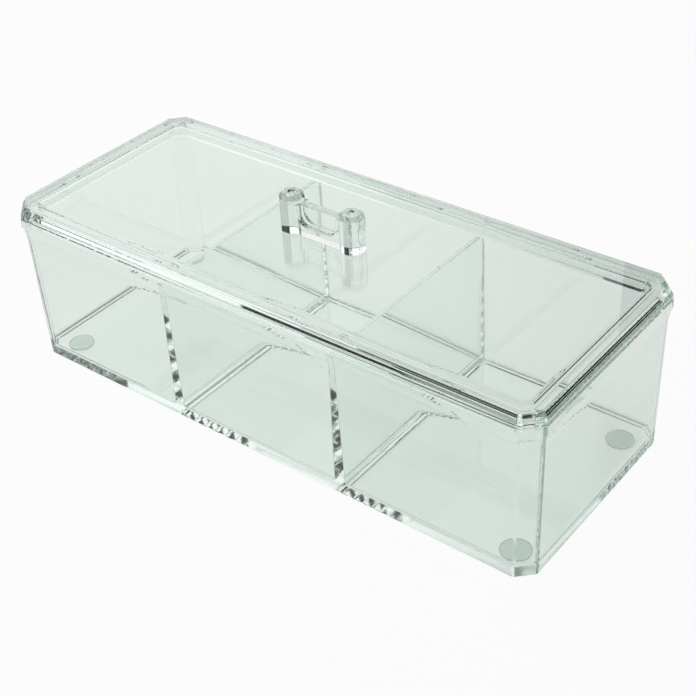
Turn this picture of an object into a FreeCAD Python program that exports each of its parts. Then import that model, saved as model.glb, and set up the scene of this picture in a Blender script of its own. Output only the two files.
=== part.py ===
import FreeCAD, Part
import math
import os
import Sketcher

os.makedirs("parts", exist_ok=True)
doc = FreeCAD.newDocument("CottonPadBox")

# A clear moulded box for cotton pads: a tray of three bays on four pads, and a lift-off lid with a
# cut-crystal knob. The long side runs along X, the front is -Y, and Z is zero where the pads rest.

sizes = doc.addObject("Spreadsheet::Sheet", "Sizes")
SIZES = (
    # tray: outer size at its underside, and the slant across each upright corner
    ("tray_length", 237.0),
    ("tray_width", 93.6),
    ("tray_height", 64.6),
    ("corner_cut", 6.0),
    ("wall_thickness", 2.5),
    ("wall_lean", 0.3),
    ("wall_draft", 0.6),
    ("floor_thickness", 3.0),
    ("floor_round", 2.2),
    # rim: an upright band that stands out from the wall, over a cove that blends it in
    ("rim_height", 3.0),
    ("rim_reach", 1.2),
    ("cove_height", 7.0),
    # dividers: two plates that stand on the floor, thin upwards and stop below the rim
    ("divider_foot", 4.4),
    ("divider_top", 2.0),
    ("divider_drop", 3.8),
    # pads under the corners
    ("pad_height", 1.2),
    ("pad_radius", 5.2),
    ("pad_inset", 12.0),
    ("pad_round", 0.5),
    # lid: a flat plate with a thick edge, upright and then slanting in, hollowed from below
    ("lid_edge_height", 5.2),
    ("lid_edge_lean", 2.3),
    ("lid_plate", 2.4),
    ("ceiling_bevel", 0.4),
    # skirt under the lid, which drops into the mouth of the tray
    ("skirt_depth", 3.3),
    ("skirt_thickness", 3.0),
    ("skirt_clearance", 0.4),
    # knob: two eight-sided posts with cut crowns, joined by a web with finger scoops
    ("post_spacing", 27.7),
    ("post_width", 9.4),
    ("post_height", 13.6),
    ("crown_height", 1.6),
    ("crown_table", 6.8),
    ("dimple_radius", 1.7),
    ("dimple_depth", 0.6),
    ("web_thickness", 6.4),
    ("web_drop", 1.3),
    ("scoop_radius", 8.8),
    ("scoop_depth", 1.0),
    ("scoop_bevel", 0.9),
)
for row, (alias, value) in enumerate(SIZES, start=1):
    sizes.set("A%d" % row, alias)
    sizes.set("B%d" % row, str(value))
    sizes.setAlias("B%d" % row, alias)
doc.recompute()

# Shared places, as sheet formulas over the driving sizes
PLACES = (
    ("tray_floor_z", "=pad_height + floor_thickness"),
    ("rim_top_z", "=pad_height + tray_height"),
    ("rim_foot_z", "=rim_top_z - rim_height"),
    ("cove_foot_z", "=rim_foot_z - cove_height"),
    ("rim_outset", "=wall_lean + rim_reach"),
    ("mouth_inset", "=wall_thickness - wall_draft"),
    ("divider_top_z", "=rim_top_z - divider_drop"),
    ("divider_height", "=divider_top_z - tray_floor_z"),
    ("divider_top_inset", "=wall_thickness - wall_draft * divider_height / (rim_top_z - tray_floor_z)"),
    ("bay_length", "=(tray_length - 2 * wall_thickness - 2 * divider_foot) / 3"),
    ("divider_x", "=(bay_length + divider_foot) / 2"),
    ("lid_top_z", "=rim_top_z + lid_edge_height"),
    ("ceiling_z", "=lid_top_z - lid_plate"),
    ("skirt_inset", "=mouth_inset + skirt_clearance"),
    ("web_top_z", "=lid_top_z + post_height - web_drop"),
)
for row, (alias, formula) in enumerate(PLACES, start=len(SIZES) + 2):
    sizes.set("A%d" % row, alias)
    sizes.set("B%d" % row, formula)
    sizes.setAlias("B%d" % row, alias)
doc.recompute()


def new_body(label):
    """A body whose label is the name of the piece."""
    body = doc.addObject("PartDesign::Body", label)
    body.Label = label
    return body


def sketch_on(body, name, role, height="0"):
    """A sketch on one of the body's own origin planes, lifted along its normal by a formula."""
    sketch = body.newObject("Sketcher::SketchObject", name)
    plane = [item for item in body.Origin.OriginFeatures if item.Role == role][0]
    sketch.AttachmentSupport = [(plane, "")]
    sketch.MapMode = "FlatFace"
    sketch.setExpression("AttachmentOffset.Base.z", height)
    return sketch


def drive(sketch, kind, first, second, formula):
    """A horizontal or vertical distance between two sketch points, set by a formula."""
    number = sketch.addConstraint(Sketcher.Constraint(kind, *first, *second, 1.0))
    sketch.setExpression("Constraints[%d]" % number, formula)


def cut_corner_outline(body, name, height, inset, cut):
    """The tray's plan outline, moved in from its foot by inset, with its four corners cut off."""
    sketch = sketch_on(body, name, "XY_Plane", height)
    half_x, half_y, corner = 100.0, 40.0, 5.0
    points = (
        (half_x - corner, -half_y), (half_x, corner - half_y), (half_x, half_y - corner),
        (half_x - corner, half_y), (corner - half_x, half_y), (-half_x, half_y - corner),
        (-half_x, corner - half_y), (corner - half_x, -half_y),
    )
    vectors = [FreeCAD.Vector(x, y, 0) for x, y in points]
    for index, start in enumerate(vectors):
        sketch.addGeometry(Part.LineSegment(start, vectors[(index + 1) % 8]), False)
    for index in range(8):
        sketch.addConstraint(Sketcher.Constraint("Coincident", index, 2, (index + 1) % 8, 1))
    # every corner mirrors the front right one, whose two ends are driven
    mirrored = ((2, 1, 1, 1, -1), (3, 1, 0, 1, -1), (4, 1, 3, 1, -2),
                (5, 1, 2, 1, -2), (6, 1, 1, 1, -2), (7, 1, 0, 1, -2))
    for pair in mirrored:
        sketch.addConstraint(Sketcher.Constraint("Symmetric", *pair))
    origin = (-1, 1)
    drive(sketch, "DistanceX", origin, (1, 1), "Sizes.tray_length / 2 - (%s)" % inset)
    drive(sketch, "DistanceX", origin, (0, 1), "Sizes.tray_length / 2 - (%s) - (%s)" % (inset, cut))
    drive(sketch, "DistanceY", (0, 1), origin, "Sizes.tray_width / 2 - (%s)" % inset)
    drive(sketch, "DistanceY", (1, 1), origin, "Sizes.tray_width / 2 - (%s) - (%s)" % (inset, cut))
    return sketch


def kept_cut(inset):
    """The corner cut that keeps the slanted face as far in as the flat ones."""
    return "Sizes.corner_cut - %.6f * (%s)" % (2 - math.sqrt(2), inset)


def loft(body, name, sketches, kind="PartDesign::AdditiveLoft"):
    """Straight faces from one sketch to the next."""
    feature = body.newObject(kind, name)
    feature.Profile = sketches[0]
    feature.Sections = list(sketches[1:])
    feature.Ruled = True
    for sketch in sketches:
        sketch.Visibility = False
    doc.recompute()
    return feature


def round_edges(body, name, radius, chosen):
    """A fillet on the edges of the body's last solid that the test picks."""
    base = body.Tip
    edges = ["Edge%d" % (i + 1) for i, edge in enumerate(base.Shape.Edges) if chosen(edge)]
    fillet = body.newObject("PartDesign::Fillet", name)
    fillet.Base = (base, edges)
    fillet.setExpression("Radius", radius)
    doc.recompute()
    return fillet


def lies_at(edge, height):
    """True for an edge that lies level at a height."""
    box = edge.BoundBox
    return abs(box.ZMin - height) < 0.001 and abs(box.ZMax - height) < 0.001


def size(alias):
    return float(sizes.get(alias))


# Tray: lofted up the leaning wall, out along the cove and up the rim, then hollowed to an even wall
def make_tray():
    body = new_body("tray")
    cove_steps = 4
    outer = [cut_corner_outline(body, "TrayFoot", "Sizes.pad_height", "0", kept_cut("0"))]
    for step in range(cove_steps + 1):
        share = step / cove_steps
        height = "Sizes.cove_foot_z + %g * Sizes.cove_height" % share
        inset = "-Sizes.wall_lean - %g * Sizes.rim_reach" % share ** 2
        outer.append(cut_corner_outline(body, "Cove%d" % step, height, inset, kept_cut(inset)))
    outset = "-Sizes.rim_outset"
    outer.append(cut_corner_outline(body, "RimTop", "Sizes.rim_top_z", outset, kept_cut(outset)))
    loft(body, "Shell", outer)

    inner = []
    for name, height, inset in (
        ("FloorLine", "Sizes.tray_floor_z", "Sizes.wall_thickness"),
        ("MouthLine", "Sizes.rim_top_z", "Sizes.mouth_inset"),
    ):
        inner.append(cut_corner_outline(body, name, height, inset, kept_cut(inset)))
    loft(body, "Hollow", inner, "PartDesign::SubtractiveLoft")
    floor_z = size("tray_floor_z")
    round_edges(body, "FloorRound", "Sizes.floor_round", lambda edge: lies_at(edge, floor_z))
    return body


# Dividers: plates whose ends lean with the walls and whose lower corners follow the floor's round
def make_divider(label, side):
    body = new_body(label)
    sketch = sketch_on(body, "Outline", "YZ_Plane")
    corners = [FreeCAD.Vector(y, z, 0) for y, z in ((-40, 4), (40, 4), (41, 60), (-41, 60))]
    for index, start in enumerate(corners):
        sketch.addGeometry(Part.LineSegment(start, corners[(index + 1) % 4]), False)
    for index in range(4):
        sketch.addConstraint(Sketcher.Constraint("Coincident", index, 2, (index + 1) % 4, 1))
    sketch.addConstraint(Sketcher.Constraint("Symmetric", 1, 1, 0, 1, -2))
    sketch.addConstraint(Sketcher.Constraint("Symmetric", 3, 1, 2, 1, -2))
    origin = (-1, 1)
    drive(sketch, "DistanceX", (0, 1), (1, 1), "Sizes.tray_width - 2 * Sizes.wall_thickness")
    drive(sketch, "DistanceX", (3, 1), (2, 1), "Sizes.tray_width - 2 * Sizes.divider_top_inset")
    drive(sketch, "DistanceY", origin, (1, 1), "Sizes.tray_floor_z")
    drive(sketch, "DistanceY", origin, (2, 1), "Sizes.divider_top_z")
    plate = body.newObject("PartDesign::Pad", "Plate")
    plate.Profile = sketch
    plate.SideType = "Symmetric"
    plate.setExpression("Length", "Sizes.divider_foot")
    doc.recompute()
    floor_z = size("tray_floor_z")
    round_edges(body, "FootRound", "Sizes.floor_round",
                lambda edge: lies_at(edge, floor_z) and edge.BoundBox.YLength < 0.001)

    taper = sketch_on(body, "Taper", "XZ_Plane")
    origin = (-1, 1)
    for first, hand in ((0, 1), (3, -1)):
        wedge = [FreeCAD.Vector(hand * x, z, 0) for x, z in ((2.0, 4), (2.0, 60), (1.0, 60))]
        for index, start in enumerate(wedge):
            taper.addGeometry(Part.LineSegment(start, wedge[(index + 1) % 3]), False)
        for index in range(3):
            taper.addConstraint(Sketcher.Constraint(
                "Coincident", first + index, 2, first + (index + 1) % 3, 1))
        for point, across, up in ((0, "divider_foot", "tray_floor_z"), (1, "divider_foot", "divider_top_z"),
                                  (2, "divider_top", "divider_top_z")):
            corner = (first + point, 1)
            ends = (origin, corner) if hand > 0 else (corner, origin)
            drive(taper, "DistanceX", *ends, "Sizes.%s / 2" % across)
            drive(taper, "DistanceY", origin, corner, "Sizes.%s" % up)
    thinned = body.newObject("PartDesign::Pocket", "Thinned")
    thinned.Profile = taper
    thinned.Type = "ThroughAll"
    thinned.SideType = "Symmetric"
    doc.recompute()
    body.setExpression("Placement.Base.x", "%d * Sizes.divider_x" % side)
    return body


# Pads: clear discs with a rounded lower edge, one under each corner of the tray
def make_pad(label, side_x, side_y):
    body = new_body(label)
    sketch = sketch_on(body, "Disc", "XY_Plane")
    sketch.addGeometry(Part.Circle(FreeCAD.Vector(0, 0, 0), FreeCAD.Vector(0, 0, 1), 5.0), False)
    sketch.addConstraint(Sketcher.Constraint("Coincident", 0, 3, -1, 1))
    number = sketch.addConstraint(Sketcher.Constraint("Radius", 0, 5.0))
    sketch.setExpression("Constraints[%d]" % number, "Sizes.pad_radius")
    disc = body.newObject("PartDesign::Pad", "Thickness")
    disc.Profile = sketch
    disc.setExpression("Length", "Sizes.pad_height")
    doc.recompute()
    round_edges(body, "Edge", "Sizes.pad_round", lambda edge: lies_at(edge, 0.0))
    body.setExpression("Placement.Base.x", "%d * (Sizes.tray_length / 2 - Sizes.pad_inset)" % side_x)
    body.setExpression("Placement.Base.y", "%d * (Sizes.tray_width / 2 - Sizes.pad_inset)" % side_y)
    return body


# Lid: an edge that starts flush with the rim, rises and slants in to a flat top, and a skirt round a hollow
def make_lid():
    body = new_body("lid")
    edge = []
    for name, share, lean in (("Seat", 0.0, 0.0), ("Shoulder", 0.42, 0.13), ("TopLine", 1.0, 1.0)):
        height = "Sizes.rim_top_z + %g * Sizes.lid_edge_height" % share
        inset = "%g * Sizes.lid_edge_lean - Sizes.rim_outset" % lean
        edge.append(cut_corner_outline(body, name, height, inset, kept_cut(inset)))
    loft(body, "Edge", edge)

    skirt_z = "Sizes.rim_top_z - Sizes.skirt_depth"
    outside = "Sizes.skirt_inset"
    inside = "Sizes.skirt_inset + Sizes.skirt_thickness"
    ceiling = inside + " + Sizes.ceiling_bevel"
    skirt = [
        cut_corner_outline(body, "SkirtFoot", skirt_z, outside, kept_cut(outside)),
        cut_corner_outline(body, "SkirtRoot", "Sizes.rim_top_z", outside, kept_cut(outside)),
    ]
    loft(body, "Skirt", skirt)
    bevel_z = "Sizes.ceiling_z - Sizes.ceiling_bevel"
    hollow = [
        cut_corner_outline(body, "HollowMouth", skirt_z, inside, kept_cut(inside)),
        cut_corner_outline(body, "HollowWall", bevel_z, inside, kept_cut(inside)),
        cut_corner_outline(body, "HollowCeiling", "Sizes.ceiling_z", ceiling, kept_cut(ceiling)),
    ]
    loft(body, "Hollow", hollow, "PartDesign::SubtractiveLoft")
    return body


def eight_sided(body, name, height, offset, width):
    """A regular eight-sided outline with flats to the front and the sides."""
    sketch = sketch_on(body, name, "XY_Plane", height)
    half = 4.0
    corner = half * math.tan(math.radians(22.5))
    points = ((half, -corner), (half, corner), (corner, half), (-corner, half),
              (-half, corner), (-half, -corner), (-corner, -half), (corner, -half))
    vectors = [FreeCAD.Vector(x, y, 0) for x, y in points]
    for index, start in enumerate(vectors):
        sketch.addGeometry(Part.LineSegment(start, vectors[(index + 1) % 8]), False)
    for index in range(8):
        sketch.addConstraint(Sketcher.Constraint("Coincident", index, 2, (index + 1) % 8, 1))
    origin = (-1, 1)
    for index, (x, y) in enumerate(points):
        for kind, value in (("DistanceX", x), ("DistanceY", y)):
            drive(sketch, kind, origin, (index, 1), "%.6f * %s" % (value / (2 * half), width))
    sketch.setExpression("AttachmentOffset.Base.x", offset)
    return sketch


def circle_on(body, name, role, height, radius, lift="0", offset="0"):
    """A circle of a driven radius about a lifted and shifted origin."""
    sketch = sketch_on(body, name, role, height)
    sketch.addGeometry(Part.Circle(FreeCAD.Vector(0, 0, 0), FreeCAD.Vector(0, 0, 1), 2.0), False)
    sketch.addConstraint(Sketcher.Constraint("Coincident", 0, 3, -1, 1))
    number = sketch.addConstraint(Sketcher.Constraint("Radius", 0, 2.0))
    sketch.setExpression("Constraints[%d]" % number, radius)
    sketch.setExpression("AttachmentOffset.Base.x", offset)
    sketch.setExpression("AttachmentOffset.Base.y", lift)
    return sketch


# Knob: posts with a bevelled crown and a dimple in its table, and a web that fingers pinch
def make_knob():
    body = new_body("knob")
    girdle_z = "Sizes.lid_top_z + Sizes.post_height"
    table_z = "%s + Sizes.crown_height" % girdle_z

    web = sketch_on(body, "WebPlan", "XY_Plane", "Sizes.lid_top_z")
    corners = [FreeCAD.Vector(x, y, 0) for x, y in ((-13, -3), (13, -3), (13, 3), (-13, 3))]
    for index, start in enumerate(corners):
        web.addGeometry(Part.LineSegment(start, corners[(index + 1) % 4]), False)
    for index in range(4):
        web.addConstraint(Sketcher.Constraint("Coincident", index, 2, (index + 1) % 4, 1))
    web.addConstraint(Sketcher.Constraint("Symmetric", 1, 1, 0, 1, -2))
    web.addConstraint(Sketcher.Constraint("Symmetric", 2, 1, 1, 1, -1))
    web.addConstraint(Sketcher.Constraint("Symmetric", 3, 1, 2, 1, -2))
    drive(web, "DistanceX", (0, 1), (1, 1), "Sizes.post_spacing")
    drive(web, "DistanceY", (1, 1), (2, 1), "Sizes.web_thickness")
    plate = body.newObject("PartDesign::Pad", "Web")
    plate.Profile = web
    plate.setExpression("Length", "Sizes.post_height - Sizes.web_drop")
    doc.recompute()

    solid = plate.Shape.Volume
    for name, side in (("Front", -1), ("Back", 1)):
        face = "%d * Sizes.web_thickness / 2" % -side
        depth = "%d * (Sizes.web_thickness / 2 - Sizes.scoop_depth)" % -side
        scoop = [
            circle_on(body, name + "Rim", "XZ_Plane", face, "Sizes.scoop_radius", "Sizes.web_top_z"),
            circle_on(body, name + "Bed", "XZ_Plane", depth,
                      "Sizes.scoop_radius - Sizes.scoop_bevel", "Sizes.web_top_z"),
        ]
        cut = loft(body, name + "Scoop", scoop, "PartDesign::SubtractiveLoft")
        if cut.Shape.Volume > solid - 1.0:
            raise RuntimeError("%s scoop cut nothing" % name)
        solid = cut.Shape.Volume

    for name, side in (("Left", -1), ("Right", 1)):
        offset = "%d * Sizes.post_spacing / 2" % side
        post = eight_sided(body, name + "PostPlan", "Sizes.lid_top_z", offset, "Sizes.post_width")
        girdle = eight_sided(body, name + "Girdle", girdle_z, offset, "Sizes.post_width")
        table = eight_sided(body, name + "Table", table_z, offset, "Sizes.crown_table")
        loft(body, name + "Post", [post, girdle, table])
        rim = circle_on(body, name + "DimpleRim", "XY_Plane", table_z,
                        "Sizes.dimple_radius", "0", offset)
        bed = circle_on(body, name + "DimpleBed", "XY_Plane", "%s - Sizes.dimple_depth" % table_z,
                        "Sizes.dimple_radius / 2", "0", offset)
        loft(body, name + "Dimple", [rim, bed], "PartDesign::SubtractiveLoft")
    return body


pieces = [
    make_tray(),
    make_divider("left_divider", -1),
    make_divider("right_divider", 1),
    make_lid(),
    make_knob(),
]
for front_or_back, side_y in (("front", -1), ("back", 1)):
    for left_or_right, side_x in (("left", -1), ("right", 1)):
        pieces.append(make_pad("pad_%s_%s" % (front_or_back, left_or_right), side_x, side_y))
doc.recompute()

for item in doc.Objects:
    if "Invalid" in item.State or "Error" in item.State:
        raise RuntimeError("%s failed: %s" % (item.Name, item.State))
for piece in pieces:
    shape = piece.Shape
    if shape.isNull() or not shape.isValid() or len(shape.Solids) != 1:
        raise RuntimeError("%s is not one valid solid" % piece.Label)
    shape.exportStep("parts/%s.step" % piece.Label)
    box = shape.BoundBox
    print("%-16s %9.1f mm3  x %.1f %.1f  y %.1f %.1f  z %.1f %.1f" % (
        piece.Label, shape.Volume, box.XMin, box.XMax, box.YMin, box.YMax, box.ZMin, box.ZMax))
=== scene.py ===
import math

import bmesh
import bpy
from mathutils import Matrix, Vector


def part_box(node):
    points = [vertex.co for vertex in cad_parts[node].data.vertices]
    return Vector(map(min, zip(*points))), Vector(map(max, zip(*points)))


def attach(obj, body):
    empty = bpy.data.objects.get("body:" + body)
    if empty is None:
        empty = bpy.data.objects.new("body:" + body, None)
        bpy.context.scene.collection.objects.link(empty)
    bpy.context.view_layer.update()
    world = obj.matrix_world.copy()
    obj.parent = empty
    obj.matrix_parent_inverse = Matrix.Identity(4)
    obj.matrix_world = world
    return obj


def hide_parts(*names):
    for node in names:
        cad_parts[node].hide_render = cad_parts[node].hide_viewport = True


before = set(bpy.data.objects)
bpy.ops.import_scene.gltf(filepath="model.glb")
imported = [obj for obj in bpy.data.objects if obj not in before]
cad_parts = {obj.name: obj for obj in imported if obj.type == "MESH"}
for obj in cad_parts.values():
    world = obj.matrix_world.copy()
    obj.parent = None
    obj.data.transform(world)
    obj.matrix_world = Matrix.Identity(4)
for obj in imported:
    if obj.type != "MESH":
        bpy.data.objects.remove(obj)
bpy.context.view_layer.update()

# ------------------------------------------------------------------------------------------------
# Tray. One deep shell moulded in water-clear styrene, with upright walls that flare out through a
# small cove into a thicker rim, slanted corners, a soft round at the floor, and two dividers.
# ------------------------------------------------------------------------------------------------
MM = 0.001
SAME = 1e-6  # two places closer than this are one
LEVEL = 2e-5  # and a face this close to a height lies at it
SKIN = 0.05 * MM  # a hair of air between pieces that touch
TRAY_CUT = 6.88 * MM
RIM_HEIGHT = 3.0 * MM
COVE_HEIGHT = 7.0 * MM
RIM_REACH = 1.2 * MM
WALL_LEAN = 0.3 * MM
RIM_BAND = 0.8 * MM  # the rim's upright foot, under a face that leans in a little
RIM_LEAN = 0.2 * MM
RIM_TO_MOUTH = 2.9 * MM
MOUTH_DRAFT = 0.03 * MM
BAY_DRAFT = 0.57 * MM
DIVIDER_TOP = 2.0 * MM
DIVIDER_FLARE = 0.63 * MM  # how much more each side of a divider leans than the walls do
TRAY_FLOOR = 4.2 * MM
FLOOR_ROUND = 2.6 * MM
CORNER_ROUND = 0.6 * MM
FOOT_ROUND = 1.0 * MM
TRAY_EDGE = 0.35 * MM
COVE_STEPS = 8
SHARP = math.radians(28)

# The styrene has a faint green cast and is glossy, with fine rub marks where it is handled
STYRENE_IOR = 1.57
RUB_SCALE = 240.0
PATCH_SCALE = 26.0
FLOW_SCALE = 34.0
CAST_FADE = 0.985  # how far the colour drops from one patch of the plastic to the next
LAMP_SHARE = 0.95  # how much of a lamp's light one surface lets on
FROST = 0.25  # roughness of a bonded face


class Flow:
    """One output of a node, so that shader sums can be written as sums."""

    def __init__(self, tree, socket):
        self.tree = tree
        self.socket = socket

    def node(self, kind, settings=None, out=0, **values):
        made = self.tree.nodes.new(kind)
        for name, setting in (settings or {}).items():
            if name == "stops":
                fill_ramp(made.color_ramp, setting)
            else:
                setattr(made, name, setting)
        for name, value in values.items():
            target = made.inputs[int(name[1:])] if name[1:].isdigit() else made.inputs[name]
            if isinstance(value, Flow):
                self.tree.links.new(value.socket, target)
            else:
                target.default_value = value
        return Flow(self.tree, made.outputs[out])

    def maths(self, operation, first, second=0.0):
        return self.node("ShaderNodeMath", {"operation": operation}, _0=first, _1=second)

    def __add__(self, other):
        return self.maths("ADD", self, other)

    __radd__ = __add__

    def __mul__(self, other):
        return self.maths("MULTIPLY", self, other)

    __rmul__ = __mul__


def fill_ramp(ramp, stops):
    """Sets a colour ramp's stops from (place, colour) pairs."""
    while len(ramp.elements) < len(stops):
        ramp.elements.new(0.5)
    for element, (place, colour) in zip(ramp.elements, stops):
        element.position = place
        element.color = colour


def new_material(name):
    """An empty material, its output node and a starting Flow."""
    material = bpy.data.materials.new(name)
    material.use_nodes = True
    tree = material.node_tree
    tree.nodes.clear()
    output = tree.nodes.new("ShaderNodeOutputMaterial")
    return material, output, Flow(tree, None)


def opaque(colour, fade=1.0):
    """A colour with its alpha, faded or not."""
    return (*[part * fade for part in colour], 1.0)


def clear_plastic(name, tint, depth_tint, depth, scuff, ripple, frost_below=-1.0,
                  frost_reach=0.0):
    """Clear moulded plastic with a body tint, a tint that grows with depth, rubs and ripple.

    Below frost_below and within frost_reach of the middle it is frosted, as bonded faces are."""
    material, output, start = new_material(name)
    place = start.node("ShaderNodeTexCoord", out=3)
    rubs = start.node("ShaderNodeTexNoise", {}, Vector=place, Scale=RUB_SCALE, Detail=3.0,
                      Roughness=0.6)
    patches = start.node("ShaderNodeTexNoise", {}, Vector=place, Scale=PATCH_SCALE, Detail=2.0)
    across = start.node("ShaderNodeSeparateXYZ", {}, out=0, Vector=place)
    height = start.node("ShaderNodeSeparateXYZ", {}, out=2, Vector=place)
    low = start.maths("LESS_THAN", height, frost_below)
    middle = start.maths("LESS_THAN", start.maths("ABSOLUTE", across), frost_reach)
    frost = low * middle * FROST
    roughness = (rubs * patches) * scuff + frost
    waves = start.node("ShaderNodeTexNoise", {}, Vector=place, Scale=FLOW_SCALE, Detail=1.0)
    normal = start.node("ShaderNodeBump", {}, Height=waves, Strength=1.0, Distance=ripple)
    cast = start.node("ShaderNodeMix", {"data_type": "RGBA"}, out=2, Factor=patches,
                      _6=opaque(tint), _7=opaque(tint, CAST_FADE))
    plastic = start.node("ShaderNodeBsdfPrincipled", {}, **{
        "Base Color": cast, "Roughness": roughness, "IOR": STYRENE_IOR,
        "Transmission Weight": 1.0, "Normal": normal})
    let_on = start.node("ShaderNodeBsdfTransparent", {}, Color=opaque(tint, LAMP_SHARE))
    to_lamps = start.node("ShaderNodeLightPath", out=1)
    surface = start.node("ShaderNodeMixShader", {}, _0=to_lamps, _1=plastic, _2=let_on)
    inside = start.node("ShaderNodeVolumeAbsorption", {}, Color=opaque(depth_tint), Density=depth)
    start.tree.links.new(surface.socket, output.inputs["Surface"])
    start.tree.links.new(inside.socket, output.inputs["Volume"])
    return material


def start_block(name, low, high):
    """A box between two corners, left in edit mode."""
    bpy.ops.object.select_all(action="DESELECT")
    bpy.ops.mesh.primitive_cube_add(size=1, location=(low + high) / 2, scale=high - low)
    block = bpy.context.object
    block.name = name
    bpy.ops.object.transform_apply(location=True, rotation=True, scale=True)
    bpy.ops.object.mode_set(mode="EDIT")
    return block


def pick(kind, test):
    """Selects only the edges or faces of the mesh in hand that pass a test."""
    bpy.ops.mesh.select_mode(type=kind)
    bpy.ops.mesh.select_all(action="DESELECT")
    mesh = bmesh.from_edit_mesh(bpy.context.object.data)
    mesh.normal_update()
    for item in mesh.edges if kind == "EDGE" else mesh.faces:
        if test(item):
            item.select_set(True)
    bmesh.update_edit_mesh(bpy.context.object.data)


def upright(edge):
    """Whether an edge stands straight up."""
    return (edge.verts[0].co.xy - edge.verts[1].co.xy).length < SAME


def lying_at(level):
    """A test for edges that lie level at a height."""
    return lambda edge: all(abs(v.co.z - level) < SAME for v in edge.verts)


def facing(direction, level):
    """A test for level faces that look up or down at a height."""
    return lambda face: (face.normal.z * direction > 0.99
                         and abs(face.calc_center_median().z - level) < LEVEL)


def step(inward, outward=0.0):
    """Insets the picked face by one distance and moves it out along its normal by another."""
    bpy.ops.mesh.inset(thickness=inward, depth=outward, use_even_offset=True)


def finish_piece(piece, edge_round, segments=3):
    """Leaves edit mode and takes the sharpness off every edge."""
    bpy.ops.mesh.select_all(action="SELECT")
    bpy.ops.mesh.normals_make_consistent(inside=False)
    bpy.ops.object.mode_set(mode="OBJECT")
    bevel = piece.modifiers.new("Edge round", "BEVEL")
    bevel.width = edge_round
    bevel.segments = segments
    bevel.limit_method = "ANGLE"
    bevel.angle_limit = SHARP
    bpy.ops.object.modifier_apply(modifier=bevel.name)
    bpy.ops.object.mode_set(mode="EDIT")
    bpy.ops.mesh.select_all(action="SELECT")
    bpy.ops.mesh.dissolve_degenerate(threshold=2e-6)
    bpy.ops.object.mode_set(mode="OBJECT")


tray_low, tray_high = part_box("tray")
divider_low, divider_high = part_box("right_divider")
rim_foot = tray_high.z - RIM_HEIGHT
cove_foot = rim_foot - COVE_HEIGHT
tray = start_block("tray_shell", Vector((tray_low.x, tray_low.y, rim_foot)),
                   Vector((tray_high.x, tray_high.y, rim_foot + RIM_BAND)))
pick("EDGE", upright)
bpy.ops.mesh.bevel(offset=TRAY_CUT, segments=1, affect="EDGES")
pick("FACE", facing(-1, rim_foot))
for number in range(COVE_STEPS, 0, -1):
    shrink = (number / COVE_STEPS) ** 2 - ((number - 1) / COVE_STEPS) ** 2
    step(RIM_REACH * shrink, COVE_HEIGHT / COVE_STEPS)
step(WALL_LEAN, cove_foot - tray_low.z)
pick("FACE", facing(1, rim_foot + RIM_BAND))
step(RIM_LEAN, RIM_HEIGHT - RIM_BAND)
step(RIM_TO_MOUTH)
step(MOUTH_DRAFT, divider_high.z - tray_high.z)

# The three bays sink side by side, which leaves the two dividers standing between them
divider_middle = (divider_low.x + divider_high.x) / 2
for cut_at in (divider_middle - DIVIDER_TOP / 2, divider_middle + DIVIDER_TOP / 2):
    for side in (-1, 1):
        pick("FACE", facing(1, divider_high.z))
        bpy.ops.mesh.bisect(plane_co=(side * cut_at, 0, 0), plane_no=(1, 0, 0))
pick("FACE", lambda face: facing(1, divider_high.z)(face)
     and abs(abs(face.calc_center_median().x) - divider_middle) > DIVIDER_TOP)
step(BAY_DRAFT, TRAY_FLOOR - divider_high.z)
foot_middle = DIVIDER_TOP / 2 + BAY_DRAFT
for side in (-1, 1):
    for edge_side in (-1, 1):
        foot_at = side * divider_middle + edge_side * foot_middle
        pick("EDGE", lambda edge: lying_at(TRAY_FLOOR)(edge) and all(
            abs(v.co.x - foot_at) < LEVEL for v in edge.verts))
        bpy.ops.transform.translate(value=(edge_side * DIVIDER_FLARE, 0, 0))


def outer_corner(edge):
    """Whether an edge runs up one of the shell's outer corners."""
    rises = abs(edge.verts[0].co.z - edge.verts[1].co.z) > SAME
    return rises and all(face.normal.xy.dot(face.calc_center_median().xy) > MM
                         for face in edge.link_faces)


pick("EDGE", lying_at(TRAY_FLOOR))
bpy.ops.mesh.bevel(offset=FLOOR_ROUND, segments=6, affect="EDGES")
pick("EDGE", outer_corner)
bpy.ops.mesh.bevel(offset=CORNER_ROUND, segments=4, affect="EDGES")
pick("EDGE", lying_at(tray_low.z))
bpy.ops.mesh.bevel(offset=FOOT_ROUND, segments=4, affect="EDGES")
finish_piece(tray, TRAY_EDGE)
tray.data.materials.append(clear_plastic(
    "clear_styrene_tray", tint=(0.945, 0.985, 0.96), depth_tint=(0.5, 0.8, 0.66), depth=2.0,
    scuff=0.13, ripple=0.006 * MM))
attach(tray, "tray")
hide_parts("tray", "left_divider", "right_divider")

# ------------------------------------------------------------------------------------------------
# Bumper pads. Four clear discs stuck under the corners, with a rounded lower edge.
# ------------------------------------------------------------------------------------------------
PAD_ROUND = 0.5 * MM
PAD_EDGE = 0.1 * MM

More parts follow.
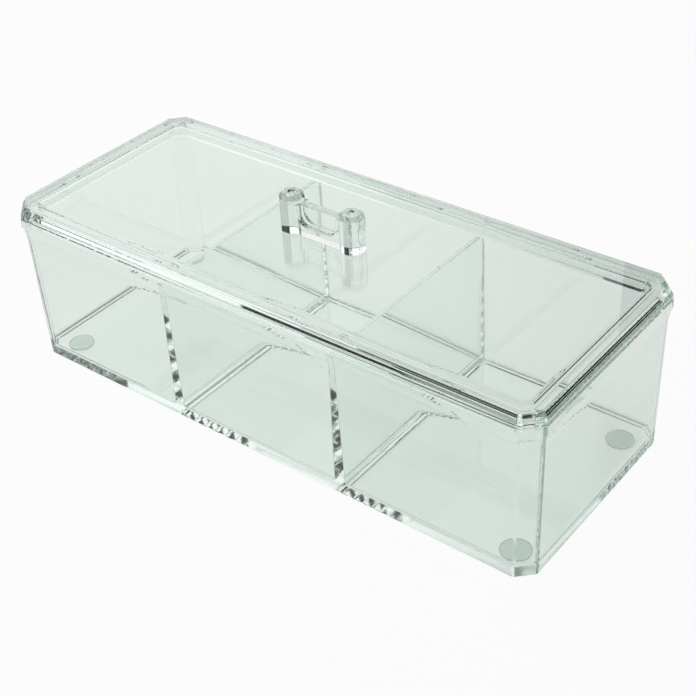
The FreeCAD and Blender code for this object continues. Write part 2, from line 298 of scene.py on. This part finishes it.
pad_plastic = clear_plastic(
    "clear_bumper", tint=(0.74, 0.8, 0.77), depth_tint=(0.5, 0.7, 0.6), depth=90.0,
    scuff=0.3, ripple=0.04 * MM)
for end in ("front", "back"):
    for side in ("left", "right"):
        node = "pad_%s_%s" % (end, side)
        low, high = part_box(node)
        middle = (low + high) / 2
        bpy.ops.object.select_all(action="DESELECT")
        bpy.ops.mesh.primitive_cylinder_add(
            vertices=48, radius=(high.x - low.x) / 2, depth=high.z - low.z - SKIN,
            location=(middle.x, middle.y, middle.z - SKIN / 2))
        pad = bpy.context.object
        pad.name = "bumper_%s_%s" % (end, side)
        bpy.ops.object.transform_apply(location=True, rotation=True, scale=True)
        bpy.ops.object.mode_set(mode="EDIT")
        pick("EDGE", lying_at(low.z))
        bpy.ops.mesh.bevel(offset=PAD_ROUND, segments=4, affect="EDGES")
        finish_piece(pad, PAD_EDGE, 2)
        pad.data.materials.append(pad_plastic)
        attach(pad, "tray")
        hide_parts(node)

# ------------------------------------------------------------------------------------------------
# Lid. A thick flat plate whose edge starts flush with the rim and curls in to the top. Below, it
# is hollowed inside a short skirt that drops into the tray's mouth.
# ------------------------------------------------------------------------------------------------
SEAT_BAND = 0.15 * MM
EDGE_PROFILE = ((0.5, 0.2), (1.25, 0.07), (1.3, 0.62), (1.1, 1.0))  # rise, lean of each facet
RIM_TO_SKIRT = 3.5 * MM
SKIRT_DEPTH = 3.1 * MM
SKIRT_THICKNESS = 3.3 * MM
CEILING_ROUND = 2.0 * MM
LID_PLATE = 2.2 * MM
TOP_LEAN = 0.22 * MM
LID_EDGE = 0.12 * MM

lid_low, lid_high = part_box("lid")
seat = tray_high.z + SKIN
leant = Vector((RIM_LEAN, RIM_LEAN, 0))
lid = start_block("lid_plate", Vector((lid_low.x, lid_low.y, seat)) + leant,
                  Vector((lid_high.x, lid_high.y, seat + SEAT_BAND)) - leant)
pick("EDGE", upright)
bpy.ops.mesh.bevel(offset=TRAY_CUT, segments=1, affect="EDGES")
pick("FACE", facing(1, seat + SEAT_BAND))
level = seat + SEAT_BAND
for rise, lean in EDGE_PROFILE:
    step(lean * MM, rise * MM)
    level += rise * MM
step(TOP_LEAN, lid_high.z - level)
pick("FACE", facing(-1, seat))
step(RIM_TO_SKIRT)
step(0.0, SKIRT_DEPTH)
step(SKIRT_THICKNESS)
hollow_top = lid_high.z - LID_PLATE
step(0.0, -(hollow_top - seat + SKIRT_DEPTH))
pick("EDGE", lying_at(hollow_top))
bpy.ops.mesh.bevel(offset=CEILING_ROUND, segments=8, affect="EDGES")
finish_piece(lid, LID_EDGE)
lid.data.materials.append(clear_plastic(
    "clear_styrene_lid", tint=(0.925, 0.965, 0.943), depth_tint=(0.5, 0.8, 0.66), depth=2.0,
    scuff=0.05, ripple=0.006 * MM))
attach(lid, "lid")
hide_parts("lid")

# ------------------------------------------------------------------------------------------------
# Knob. Two eight-sided posts with cut crowns and a dimple in each, joined by a web that is
# scooped on both faces for a finger and a thumb. It is moulded as one and bonded on the lid.
# ------------------------------------------------------------------------------------------------
POST_SPACING = 27.7 * MM
POST_WIDTH = 9.4 * MM
CROWN = 1.6 * MM
CROWN_TABLE = 6.8 * MM
DIMPLE_RADIUS = 1.7 * MM
DIMPLE_SLOPE = 0.9 * MM
DIMPLE_DEPTH = 0.4 * MM
WEB_THICKNESS = 6.4 * MM
WEB_DROP = 1.3 * MM
SCOOP_WIDTH = 17.6 * MM
SCOOP_HEIGHT = 8.2 * MM
SCOOP_CORNER = 4.5 * MM
SCOOP_DEPTH = 1.0 * MM
SCOOP_BEVEL = 0.5 * MM
KNOB_EDGE = 0.2 * MM
HALF_FACET = math.pi / 8

knob_low, knob_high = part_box("knob")
knob_foot = knob_low.z + SKIN * 2
girdle = knob_high.z - CROWN


def combine(piece, tool, operation):
    """Joins a tool solid to a piece, or cuts it away."""
    bpy.ops.object.select_all(action="DESELECT")
    piece.select_set(True)
    bpy.context.view_layer.objects.active = piece
    boolean = piece.modifiers.new("Combine", "BOOLEAN")
    boolean.operation = operation
    boolean.solver = "EXACT"
    boolean.object = tool
    bpy.ops.object.modifier_apply(modifier=boolean.name)
    bpy.data.objects.remove(tool)


web_top = girdle - WEB_DROP
knob = start_block("crystal_knob",
                   Vector((-POST_SPACING / 2, -WEB_THICKNESS / 2, knob_foot)),
                   Vector((POST_SPACING / 2, WEB_THICKNESS / 2, web_top)))
bpy.ops.object.mode_set(mode="OBJECT")
for side in (-1, 1):
    face_at = side * WEB_THICKNESS / 2
    reach = Vector((SCOOP_WIDTH / 2, SCOOP_DEPTH, SCOOP_HEIGHT))
    scoop = start_block("scoop", Vector((0, face_at, web_top)) - reach,
                        Vector((0, face_at, web_top)) + reach)
    pick("EDGE", lambda edge: abs(edge.verts[0].co.y - edge.verts[1].co.y) > SAME)
    bpy.ops.mesh.bevel(offset=SCOOP_CORNER, segments=12, affect="EDGES")
    pick("FACE", lambda face: face.normal.y * side < -0.99)
    bpy.ops.mesh.inset(thickness=SCOOP_BEVEL, depth=0.0, use_even_offset=True)
    bpy.ops.transform.translate(value=(0, -side * SCOOP_BEVEL, 0))
    bpy.ops.object.mode_set(mode="OBJECT")
    combine(knob, scoop, "DIFFERENCE")
for side in (-1, 1):
    bpy.ops.object.select_all(action="DESELECT")
    bpy.ops.mesh.primitive_cylinder_add(
        vertices=8, radius=POST_WIDTH / 2 / math.cos(HALF_FACET), depth=girdle - knob_foot,
        location=(side * POST_SPACING / 2, 0, (girdle + knob_foot) / 2),
        rotation=(0, 0, HALF_FACET))
    post = bpy.context.object
    bpy.ops.object.transform_apply(location=True, rotation=True, scale=True)
    bpy.ops.object.mode_set(mode="EDIT")
    pick("FACE", facing(1, girdle))
    step((POST_WIDTH - CROWN_TABLE) / 2, CROWN)
    step(CROWN_TABLE / 2 - DIMPLE_RADIUS)
    step(DIMPLE_SLOPE, -DIMPLE_DEPTH)
    bpy.ops.object.mode_set(mode="OBJECT")
    combine(knob, post, "UNION")
bpy.ops.object.mode_set(mode="EDIT")
finish_piece(knob, KNOB_EDGE, 2)
knob.data.materials.append(clear_plastic(
    "crystal_styrene", tint=(0.99, 0.995, 0.992), depth_tint=(0.6, 0.85, 0.7), depth=6.0,
    scuff=0.1, ripple=0.01 * MM, frost_below=knob_foot + SKIN,
    frost_reach=(POST_SPACING - POST_WIDTH) / 2))
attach(knob, "lid")
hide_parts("knob")

# ------------------------------------------------------------------------------------------------
# Table and light. A plain white table in a room that is bright on the left, where a white panel
# stands, and dim on the right and towards the front. Clear edges mirror both as lines.
# ------------------------------------------------------------------------------------------------
TABLE_SIZE = 6.0
WHITE_PAINT = 0.86
SHARE_SEEN = 0.93  # how much of the table's white is its own, to the eye
SHARE_THROUGH = 0.54  # and through the plastic, where it is shaded more

bpy.ops.object.select_all(action="DESELECT")
bpy.ops.mesh.primitive_plane_add(size=TABLE_SIZE, location=(0, 0, -SKIN))
table = bpy.context.object
table.name = "white_table"
material, output, start = new_material("white_table")
board = start.node("ShaderNodeBsdfDiffuse", {}, Color=opaque([WHITE_PAINT] * 3))
glow = start.node("ShaderNodeEmission", {}, Color=opaque([1.0] * 3), Strength=1.0)
path = start.tree.nodes.new("ShaderNodeLightPath")
seen = Flow(start.tree, path.outputs["Is Camera Ray"])
through = (Flow(start.tree, path.outputs["Is Glossy Ray"])
           + Flow(start.tree, path.outputs["Is Transmission Ray"]))
share = seen * SHARE_SEEN + start.maths("MINIMUM", through, 1.0) * SHARE_THROUGH
surface = start.node("ShaderNodeMixShader", {}, _0=share, _1=board, _2=glow)
start.tree.links.new(surface.socket, output.inputs["Surface"])
table.data.materials.append(material)

# A tall curved white panel stands along the left and the back left
PANEL_RADIUS = 1.3
PANEL_TOP = 1.85
PANEL_FRONT = math.radians(231)
PANEL_BACK = math.radians(110)
PANEL_WHITE = 1.1
PANEL_ENDS = 0.45  # how bright its two ends are beside its middle
FADE_FROM, FADE_TO = 0.25, 0.75  # how far left the fade starts and is over, in metres

bpy.ops.object.select_all(action="DESELECT")
bpy.ops.mesh.primitive_cylinder_add(vertices=120, radius=PANEL_RADIUS, depth=PANEL_TOP,
                                    end_fill_type="NOTHING", location=(0, 0, PANEL_TOP / 2))
panel = bpy.context.object
panel.name = "side_panel"
bpy.ops.object.transform_apply(location=True, rotation=True, scale=True)
bpy.ops.object.mode_set(mode="EDIT")
pick("FACE", lambda face: not PANEL_BACK < math.atan2(
    face.calc_center_median().y, face.calc_center_median().x) % math.tau < PANEL_FRONT)
bpy.ops.mesh.delete(type="FACE")
bpy.ops.object.mode_set(mode="OBJECT")
panel.visible_camera = False
material, output, start = new_material("panel_light")
place = start.node("ShaderNodeTexCoord", out=3)
along = start.node("ShaderNodeSeparateXYZ", {}, out=0, Vector=place)
fade = start.node("ShaderNodeValToRGB", {"stops": (
    (FADE_FROM, opaque([PANEL_ENDS] * 3)), (FADE_TO, opaque([1.0] * 3)))}, Fac=along * -1.0)
glow = start.node("ShaderNodeEmission", {}, Color=fade, Strength=PANEL_WHITE)
start.tree.links.new(glow.socket, output.inputs["Surface"])
panel.data.materials.append(material)

# The room is dim in what the plastic mirrors and bends, and white where the eye meets it
ROOM = 0.02

world = bpy.data.worlds.new("studio")
bpy.context.scene.world = world
world.use_nodes = True
world.node_tree.nodes.clear()
sky = world.node_tree.nodes.new("ShaderNodeOutputWorld")
start = Flow(world.node_tree, None)
room = start.node("ShaderNodeBackground", {}, Color=opaque([ROOM] * 3), Strength=1.0)
white = start.node("ShaderNodeBackground", {}, Color=opaque([1.0] * 3), Strength=1.0)
looked_at = start.node("ShaderNodeLightPath", out=0)
backdrop = start.node("ShaderNodeMixShader", {}, _0=looked_at, _1=room, _2=white)
world.node_tree.links.new(backdrop.socket, sky.inputs["Surface"])

# One softbox above, which the plastic doesn't mirror
SOFT_AT = Vector((-0.5, -0.2, 1.6))
SOFT_SIZE = (1.2, 0.9)
SOFT_WATTS = 13.5

soft = bpy.data.lights.new("softbox", "AREA")
soft.shape = "RECTANGLE"
soft.size, soft.size_y = SOFT_SIZE
soft.energy = SOFT_WATTS
soft_box = bpy.data.objects.new("softbox", soft)
bpy.context.scene.collection.objects.link(soft_box)
soft_box.location = SOFT_AT
soft_box.visible_glossy = False
soft_box.visible_transmission = False
soft_box.rotation_euler = (-SOFT_AT).to_track_quat("-Z", "Y").to_euler()

# Light runs a long way inside clear plastic before it leaves
BOUNCES = 96
cycles = bpy.context.scene.cycles
cycles.max_bounces = BOUNCES
cycles.transmission_bounces = BOUNCES
cycles.glossy_bounces = BOUNCES
cycles.transparent_max_bounces = 64

# ------------------------------------------------------------------------------------------------
# Camera. It looks down on the box from the front right, a little rolled to one side.
# ------------------------------------------------------------------------------------------------
CAMERA_AT = Vector((0.2737, -0.3176, 0.3248))
CAMERA_AZIMUTH = math.radians(39.85)
CAMERA_ELEVATION = math.radians(35.94)
CAMERA_ROLL = math.radians(-3.42)
IMAGE_SIDE = 696
FOCAL_PIXELS = 1336.4

camera = bpy.data.objects.new("camera", bpy.data.cameras.new("camera"))
bpy.context.scene.collection.objects.link(camera)
turn = (Matrix.Rotation(CAMERA_AZIMUTH, 4, "Z")
        @ Matrix.Rotation(math.pi / 2 - CAMERA_ELEVATION, 4, "X")
        @ Matrix.Rotation(CAMERA_ROLL, 4, "Z"))
camera.matrix_world = Matrix.Translation(CAMERA_AT) @ turn
camera.data.lens = FOCAL_PIXELS * camera.data.sensor_width / IMAGE_SIDE
camera.data.clip_start = 0.01
bpy.context.scene.camera = camera
bpy.context.scene.view_settings.view_transform = "Standard"
